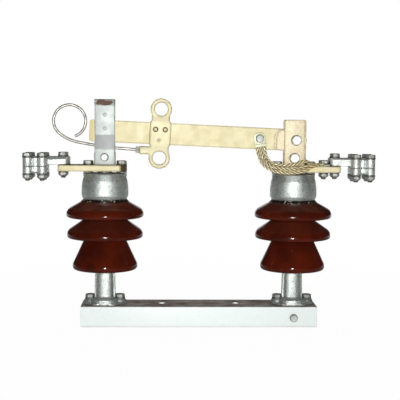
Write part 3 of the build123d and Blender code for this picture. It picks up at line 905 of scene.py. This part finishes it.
# The sloping joggle is painted a darker grey, as the shade it takes facing up, and the lip is bare in
# a patch that is deepest in the middle.
tree = tinned_strip.node_tree
place = numbers_of(place_in(tree))
drift = noise(tree, 70.0, 2.0)
level = reckon("ADD", place["Z"], spread(drift, 0.3, 0.7, -0.0012, 0.0012))
above, below = spread(level, 0.3385, 0.3405, 0.0, 0.8), spread(level, 0.3685, 0.3665)
tinted(tinned_strip, times(above, below), (168, 172, 173))
bare = reckon("ADD", place["Z"], spread(drift, 0.3, 0.7, -0.0035, 0.0035))
across = reckon("ADD", place["X"], axis_x / 1000)
across = times(across, across)
crown = reckon("ADD", bare, times(across, 22.0))
keel = reckon("SUBTRACT", bare, times(across, 8.0))
above, below = spread(keel, 0.4240, 0.4258, 0.0, 0.90), spread(crown, 0.4358, 0.4344)
tinted(tinned_strip, times(above, below), (104, 66, 44))

low_bolt_z = 325
jaw_block = broken_edges(square_bar(-20.5, 20.5, -11, 11, bar_top, 333), 0.8)
piece("jaw_block_bar", put_at(jaw_block, -axis_x), brass, "jaw_block", "plated_brass")

spine = [(11, bar_top), (11, 340), (5.3, 367), (5.3, 425), (14.3, 436)]
strip_width = 38.5
for side, turn in (("front", half_turn), ("back", no_turn)):
    shape = bent_line([(-strip_width / 2, y, z) for y, z in spine], [0, 7, 7, 5, 0], False)
    grown = bmesh.ops.extrude_edge_only(shape, edges=shape.edges[:])
    drawn_out(shape, grown, (strip_width, 0, 0))
    bmesh.ops.recalc_face_normals(shape, faces=shape.faces)
    outward = 1 if shape.faces[0].normal.y > 0 else -1
    thick = {"thickness": 3.0, "offset": outward, "use_even_offset": True, "use_quality_normals": True}
    strip = broken_edges(with_modifiers(shape, ("SOLIDIFY", thick)), 0.8)
    if side == "front":
        for rise, height in ((0.7, 406), (0.3, 380)):
            pip_outline = [(0, -1.4), (2.8, -1.4), (2.6, rise / 2), (1.0, rise), (0, rise)]
            pip = turning(pip_outline, [0, 0, 0.2, 0.2, 0], 24)
            pip = put_at(turned_over(pip, Matrix.Rotation(radians(-90), 4, "X")), -0.5, 8.3, height)
            strip = together(strip, pip)
    strip = put_at(turned_over(strip, turn), -axis_x)
    piece(f"jaw_strip_{side}_band", strip, tinned_strip, f"jaw_strip_{side}", "tinned_copper")


def cross_bolt(x, z, face, size="m10"):
    """A bolt through from the front, clamping between two faces."""
    return put_at(turned_over(bolt(size, 2 * face), facing_front), x, -face, z)


jaw_bolt = cross_bolt(-axis_x, low_bolt_z, 14, "m8")
piece("jaw_cross_bolt", jaw_bolt, [satin_zinc, deeper_shaded_washer_zinc], "jaw_bolt", "zinc_bolt")


# --------------------------------------------------------------
# Hinge. Two flat brass plates stand on the right bar each side of a block and hold the blade's
# pivot bolt; their plating is thin and has gone a mottled tan.
tan_brass = worn_metal(
    "tan_brass", (246, 238, 210), (226, 210, 172), 0.05, 0.48, blotch=300.0, stain=0.8, specks=0.7,
    grain=1100.0, edge=(122, 110, 84), edge_share=0.80, dust=(116, 96, 66), dusty=0.7, dirty=0.5,
)
bright_zinc = zinc_plating(
    "bright_zinc", (248, 250, 248), (226, 230, 226), 0.12, 0.42, stain=0.6, specks=0.3, depth=0.04,
    edge=(104, 102, 94), edge_width=3.0, edge_share=0.9, dust=(96, 92, 84), dusty=0.6, reach=5.0,
)
pivot_x, pivot_z = axis_x + 3, 359.5
block_face, plate_face = 7.3, 12.3
hinge_block = broken_edges(square_bar(-20.5, 20.5, -block_face, block_face, bar_top, 333), 0.8)
piece("hinge_block_bar", put_at(hinge_block, axis_x), brass, "hinge_block", "plated_brass")
for side, near, far, right in (
    ("front", -plate_face, -block_face, 19.5), ("back", block_face, plate_face, 25),
):
    plate = flat_plate(oblong(-19.5, right, bar_top, 399), [0, 4.5, 4.5, 0], near, far)
    plate = put_at(broken_edges(plate, 0.7), axis_x)
    piece(f"hinge_{side}_cheek", plate, tan_brass, f"hinge_plate_{side}", "plated_brass")
for name, x, z, node in (
    ("hinge_foot_bolt", axis_x, low_bolt_z, "hinge_lower_bolt"),
    ("pivot_bolt", pivot_x, pivot_z, "hinge_pivot_bolt"),
):
    piece(name, cross_bolt(x, z, plate_face), [bright_zinc, shaded_washer_zinc], node, "zinc_bolt")


# --------------------------------------------------------------
# Blade. A flat bar of plated copper, 42 mm by 10 mm, round at the pivot, with a thin contact
# cheek sweated on each side where the hinge plates press.
closed_tilt = 2.4


def blade_piece(name, shape, materials, node, slot, sharp=None):
    """A piece of the closed blade, from a shape that has the pivot at its origin."""
    closed = Matrix.Translation((pivot_x, 0, pivot_z)) @ Matrix.Rotation(radians(closed_tilt), 4, "Y")
    piece(name, turned_over(shape, closed), materials, node, slot, "swing_blade", sharp)


def cross_bar(radius, near, far, segments=64):
    """A round bar that lies from front to back."""
    return turned_over(round_bar(radius, -far, -near, segments), facing_front)


blade = together(
    flat_plate(oblong(-398, 0, -21, 21), [5, 5, 0, 0], -5, 5),
    cross_bar(20.98, -5, 5),
)
blade = broken_edges(cut(blade, cross_bar(5.05, -9, 9, 32)), 0.7)
blade_piece("blade_bar", blade, brass, "blade", "plated_brass")

upper_sheet = [(-37, -20.6), (-37, 17.5), (0, 20.4), (0, -20.6)]
for side, lower, upper in (("front", (-6, -5), (-7, -6)), ("back", (5, 6), (6, 7))):
    cheek = together(
        flat_plate(oblong(-42, 0, -20.9, 20.9), [6, 16, 0, 0], *lower),
        flat_plate(upper_sheet, [3, 13, 0, 0], *upper),
        cross_bar(20.9, min(lower + upper), max(lower + upper)),
    )
    cheek = broken_edges(cut(cheek, cross_bar(5.05, -9, 9, 32)), 0.25, 1)
    blade_piece(f"contact_cheek_{side}", cheek, tan_brass, f"blade_cheek_{side}", "plated_brass")


# --------------------------------------------------------------
# Lever. A brass casting slotted over the blade, with an eye above and one below for a hook stick and a
# lug for the wire horn; two rivets hold it. It is plated like the blade, and its rounded edges are
# painted dark as shade, with some wear.
# The wide dark edge is painted shade where the casting rounds off from the light, with some wear.
cast_brass = worn_metal(
    "cast_brass", (238, 231, 196), (226, 217, 172), 0.05, 0.48, grain=1100.0, depth=0.10,
    edge=(116, 106, 74), edge_width=6.0, edge_share=0.95, dust=(112, 98, 66), dirty=0.75, reach=7.0,
)
lever_x = -262
eye_z = 47
half_thick = 8.9
lever = together(
    flat_plate(oblong(-20.6, 20.6, -24, 24), [4] * 4, -half_thick, half_thick),
    flat_plate(oblong(-17.5, 17.5, -eye_z, eye_z), [0] * 4, -half_thick, half_thick),
    flat_plate(oblong(-39, -8, -41, -25.5), [2, 2, 0, 0], -half_thick, half_thick),
    *[put_at(cross_bar(20.6, -half_thick, half_thick), 0, 0, z) for z in (-eye_z, eye_z)],
)
eyes = together(*[put_at(cross_bar(12.6, -12, 12), 0, 0, z) for z in (-eye_z, eye_z)])
lever = casting(cut(lever, eyes), 0.9, 10)

# The eyes are thinner than the middle, and the thickness eases off between the two.
for vert in lever.verts:
    out = min(1.0, max(0.0, (abs(vert.co.z) - 20) / 16))
    vert.co.y *= 1 - 0.27 * out * out * (3 - 2 * out)
pip = turning([(0, -2), (2.4, -2), (1.8, 0.7), (0, 0.9)], [0, 0, 0.6, 0], 24)
lever = together(lever, put_at(turned_over(pip, facing_front), -2, -8.6, -12.5))
blade_piece("eye_lever", put_at(lever, lever_x), cast_brass, "ring_lever", "plated_brass", 60)

tarnish = worn_metal(
    "tarnished_ring", (84, 72, 42), (52, 43, 24), 0.3, 0.5, blotch=200.0, stain=0.8, specks=0.4,
    grain=900.0, dusty=0.3, reach=3.0,
)
rivet = turning([(0, -9.6), (3.4, -9.6), (3.4, 9.6), (0, 9.6)], [0, 0.9, 0.9, 0], 32)
gap_ring = turning([(3.1, -9.3), (5.2, -9.3), (5.2, 9.3), (3.1, 9.3)], [0.2] * 4, 32, True)
rivet = turned_over(together(rivet, in_second(gap_ring)), facing_front)
rivets = put_at(pair_of(rivet, 9.25, 8), lever_x)
blade_piece("lever_rivet_pair", rivets, [cast_brass, tarnish], "lever_rivets", "rivet_brass")


# --------------------------------------------------------------
# Wire horn. Round zinc-plated spring wire screwed into the lever's lug with a lock nut; it trails
# under the blade, lifts past the jaw and ends in an open loop.
zinc_wire = worn_metal(
    "zinc_wire", (203, 202, 194), (155, 154, 146), 1.0, 0.44, blotch=70.0, specks=0.3, grain=900.0,
    depth=0.02, dust=(120, 112, 104), dusty=0.35, dirty=0.4, reach=3.0,
)

wire_radius = 2.7
lift = radians(1.8)
at = Vector((lever_x - 39, 0, -33))
heading = Vector((-cos(lift), 0, sin(lift)))
horn_start = Matrix.Translation(at) @ heading.to_track_quat("Z", "Y").to_matrix().to_4x4()
shape = bmesh.new()
bmesh.ops.create_circle(shape, cap_ends=False, segments=20, radius=wire_radius, matrix=horn_start)
end = shape.edges[:]

# Each leg runs straight for a length, and then bends at a radius by some degrees, in steps.
for straight, radius, turn, steps in ((44, 420, 6, 6), (29, 82, 28.5, 14), (0, 30.8, 302, 92)):
    if straight:
        grown = bmesh.ops.extrude_edge_only(shape, edges=end)
        corners = drawn_out(shape, grown, heading * straight)
        edges = [g for g in grown["geom"] if isinstance(g, bmesh.types.BMEdge)]
        end = [edge for edge in edges if all(vert in corners for vert in edge.verts)]
        at = at + heading * straight
    centre = at + Vector((0, 1, 0)).cross(heading) * radius
    turned = Matrix.Rotation(radians(turn), 3, "Y")
    spun = bmesh.ops.spin(
        shape, geom=end, cent=centre, axis=(0, 1, 0), angle=radians(turn), steps=steps,
        use_merge=False,
    )["geom_last"]
    end = [g for g in spun if isinstance(g, bmesh.types.BMEdge)]
    at, heading = centre + turned @ (at - centre), turned @ heading
bmesh.ops.holes_fill(shape, edges=[e for e in shape.edges if e.is_boundary], sides=0)
bmesh.ops.recalc_face_normals(shape, faces=shape.faces)
blade_piece("horn_wire", shape, zinc_wire, "wire_horn", "zinc_wire")

nut = turned_over(together(hexagon(12, 0, 7, 1.0), round_bar(2.25, 0, 9, 20)), horn_start)
blade_piece("horn_lock_nut", nut, satin_zinc, "horn_nut", "zinc_bolt")


# --------------------------------------------------------------
# Shunt lugs. Tinned copper tags with a raised ferrule that grips the three ropes, one bolted on
# the blade's front and one lying on the right bar.
tin = worn_metal(
    "tin", (236, 240, 218), (206, 206, 172), 0.15, 0.42, blotch=120.0, stain=0.85, specks=0.4,
    depth=0.04, edge=(150, 150, 118), edge_width=1.2, edge_share=0.7, dust=(120, 110, 84),
    dusty=0.5, reach=4.0,
)
tag_height = 3.2


def shunt_lug():
    tag = laid_flat(oblong(-11, 16.5, -11, 11), [7, 7, 1, 1], 0, tag_height)
    band = laid_flat(oblong(10.5, 16.5, -11, 11), [1] * 4, 0, 6)
    return together(broken_edges(tag, 0.5), broken_edges(band, 2.0, 4))


blade_lug_x = -70.3
slope = Matrix.Rotation(radians(-90 + 8 + closed_tilt), 4, "Z")
blade_tag = turned_over(shunt_lug(), Matrix.Translation((blade_lug_x, -5, 0)) @ facing_front @ slope)
blade_piece("blade_lug", blade_tag, tin, "shunt_blade_lug", "tinned_copper")
lug_bolt = put_at(turned_over(bolt("m8", 13.2), facing_front), blade_lug_x, -8.2, 0)
blade_piece("blade_lug_bolt", lug_bolt, [satin_zinc, deeper_shaded_washer_zinc], "shunt_blade_bolt", "zinc_bolt")

bar_lug_x, bar_lug_y = 239.5, -9
bar_tag = turned_over(shunt_lug(), Matrix.Rotation(radians(220), 4, "Z"))
bar_tag = put_at(bar_tag, bar_lug_x, bar_lug_y, bar_top)
piece("bar_lug", bar_tag, tin, "shunt_bar_lug", "tinned_copper")
lug_bolt = put_at(bolt("m10", 15.2), bar_lug_x, bar_lug_y, bar_top + tag_height)
piece("bar_lug_bolt", lug_bolt, plated_bolt, "shunt_bar_bolt", "zinc_bolt")


# --------------------------------------------------------------
# Line clamps. Cast aluminium: an arm bolted on the bar's end carries half of a clamp with four
# bolt columns, and a keeper pulls up from below to hold the line in the groove between.
clamp_metal = worn_metal(
    "clamp_metal", (234, 240, 238), (176, 182, 178), 0.94, 0.53, blotch=80.0, stain=0.5,
    grain=400.0, depth=0.34, edge=(232, 236, 234), edge_width=1.4, edge_share=0.4,
    dust=(80, 78, 72), dusty=0.9, dirty=0.9, reach=9.0,
)
clamp_x = axis_x + 80
line_z = 307
arm_top = 326
column_top = 324.5
arm_half = 13.5
inner_x, outer_x = 38.6, 66.3
columns = [(x, y) for x in (inner_x, outer_x) for y in (-17, 17)]


def clamp_half(saddle, rods, web):
    """Four columns, a web with a rib between each pair, and a saddle, each from its z to its z."""
    parts = [put_at(round_bar(9.4, *rods), x, y) for x, y in columns]
    parts += [put_at(round_bar(5.5, *web), (inner_x + outer_x) / 2, y) for y in (-14, 14)]
    return parts + [square_bar(30, 73, -16, 16, *web), square_bar(33, 70, -12, 12, *saddle)]


groove = put_at(turned_over(round_bar(8, -10, 110), Matrix.Rotation(pi / 2, 4, "Y")), z=line_z)
arm = together(
    square_bar(0, 33, -arm_half, arm_half, bar_top, arm_top),
    round_bar(arm_half, bar_top, arm_top),
)

# The arm's upper edges are planed off at 45 degrees, one wider than the other. A 12 mm block on
# the slant has its face 4.24 mm in and down from its middle.
for side, slant, width in ((1, -45, 5.5), (-1, 45, 3.2)):
    out = 4.24 - width / 2
    block = square_bar(-20, 60, -20, 20, -6, 6)
    turned_over(block, Matrix.Rotation(radians(slant), 4, "X"))
    arm = cut(arm, put_at(block, 0, side * (arm_half + out), arm_top + out))
upper = together(arm, *clamp_half((307.1, arm_top), (307.1, column_top), (307.1, 323)))
upper = casting(cut(upper, groove.copy()), 0.95, 3)
keeper = together(*clamp_half((293, 306.9), (293, 306.9), (296, 306.9)))
keeper = casting(cut(keeper, groove), 0.95, 3)
clamp_bolt = bolt("m10", 31.5)
bolts = together(
    *[put_at(clamp_bolt.copy(), x, y, column_top) for x, y in columns],
    put_at(bolt("m10", 28), z=arm_top),
)
clamp_bolt.free()
for side, turn in (("left", half_turn), ("right", no_turn)):
    for name, shape, material, node, slot in (
        ("clamp_arm", upper, clamp_metal, "clamp_body", "clamp_casting"),
        ("keeper_casting", keeper, clamp_metal, "clamp_keeper", "clamp_casting"),
        ("clamp_bolt_set", bolts, plated_bolt, "clamp_bolts", "zinc_bolt"),
    ):
        copy = turned_over(put_at(shape.copy(), clamp_x), turn)
        piece(f"{name}_{side}", copy, material, f"{node}_{side}", slot)
